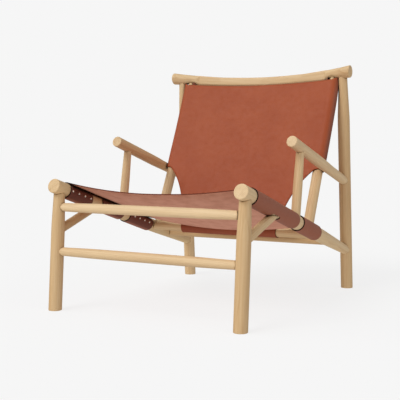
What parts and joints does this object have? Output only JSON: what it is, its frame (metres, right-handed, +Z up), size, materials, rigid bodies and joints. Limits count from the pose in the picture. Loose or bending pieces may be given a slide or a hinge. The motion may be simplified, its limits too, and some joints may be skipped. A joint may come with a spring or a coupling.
{
  "type": "leather sling lounge chair",
  "caption": "Low lounge chair of turned light oak bars with armrests, a nailed leather sling seat and a leather sling back under a bowed crest rail.",
  "frame": {"origin": "on the floor, under the middle of the chair's box", "axes": "+Z up, +Y towards the chair's back, +X to the right as seen from the front, so left and right in the names are the viewer's"},
  "size_m": [0.694, 0.865, 0.769],
  "materials": {
    "oak": "light oak, planed and turned smooth, matt oil",
    "leather": "thick cognac saddle leather, smooth, with burnished dark cut edges",
    "nail_brass": "polished pale brass"
  },
  "bodies": {
    "root": {"back_leg_left": "oak", "seat_rail_left": "oak", "front_leg_left": "oak", "arm_rail_left": "oak", "arm_post_left": "oak", "brace_left": "oak", "back_post_left": "oak", "back_leg_right": "oak", "seat_rail_right": "oak", "front_leg_right": "oak", "arm_rail_right": "oak", "arm_post_right": "oak", "brace_right": "oak", "back_post_right": "oak", "front_stretcher_upper": "oak", "front_stretcher_lower": "oak", "rear_seat_bar": "oak", "rear_beam": "oak", "crest_rail": "oak", "seat_sling": "leather", "back_sling": "leather", "seat_nail_left_1": "nail_brass", "seat_nail_left_2": "nail_brass", "seat_nail_left_3": "nail_brass", "seat_nail_left_4": "nail_brass", "seat_nail_left_5": "nail_brass", "seat_nail_left_6": "nail_brass", "seat_nail_left_7": "nail_brass", "seat_nail_left_8": "nail_brass", "seat_nail_left_9": "nail_brass", "seat_nail_left_10": "nail_brass", "seat_nail_left_11": "nail_brass", "seat_nail_left_12": "nail_brass", "seat_nail_right_1": "nail_brass", "seat_nail_right_2": "nail_brass", "seat_nail_right_3": "nail_brass", "seat_nail_right_4": "nail_brass", "seat_nail_right_5": "nail_brass", "seat_nail_right_6": "nail_brass", "seat_nail_right_7": "nail_brass", "seat_nail_right_8": "nail_brass", "seat_nail_right_9": "nail_brass", "seat_nail_right_10": "nail_brass", "seat_nail_right_11": "nail_brass", "seat_nail_right_12": "nail_brass", "back_nail_left_1": "nail_brass", "back_nail_left_2": "nail_brass", "back_nail_left_3": "nail_brass", "back_nail_left_4": "nail_brass", "back_nail_left_5": "nail_brass", "back_nail_right_1": "nail_brass", "back_nail_right_2": "nail_brass", "back_nail_right_3": "nail_brass", "back_nail_right_4": "nail_brass", "back_nail_right_5": "nail_brass", "tongue_nail_1": "nail_brass", "tongue_nail_2": "nail_brass", "tongue_nail_3": "nail_brass"}
  },
  "joints": []
}
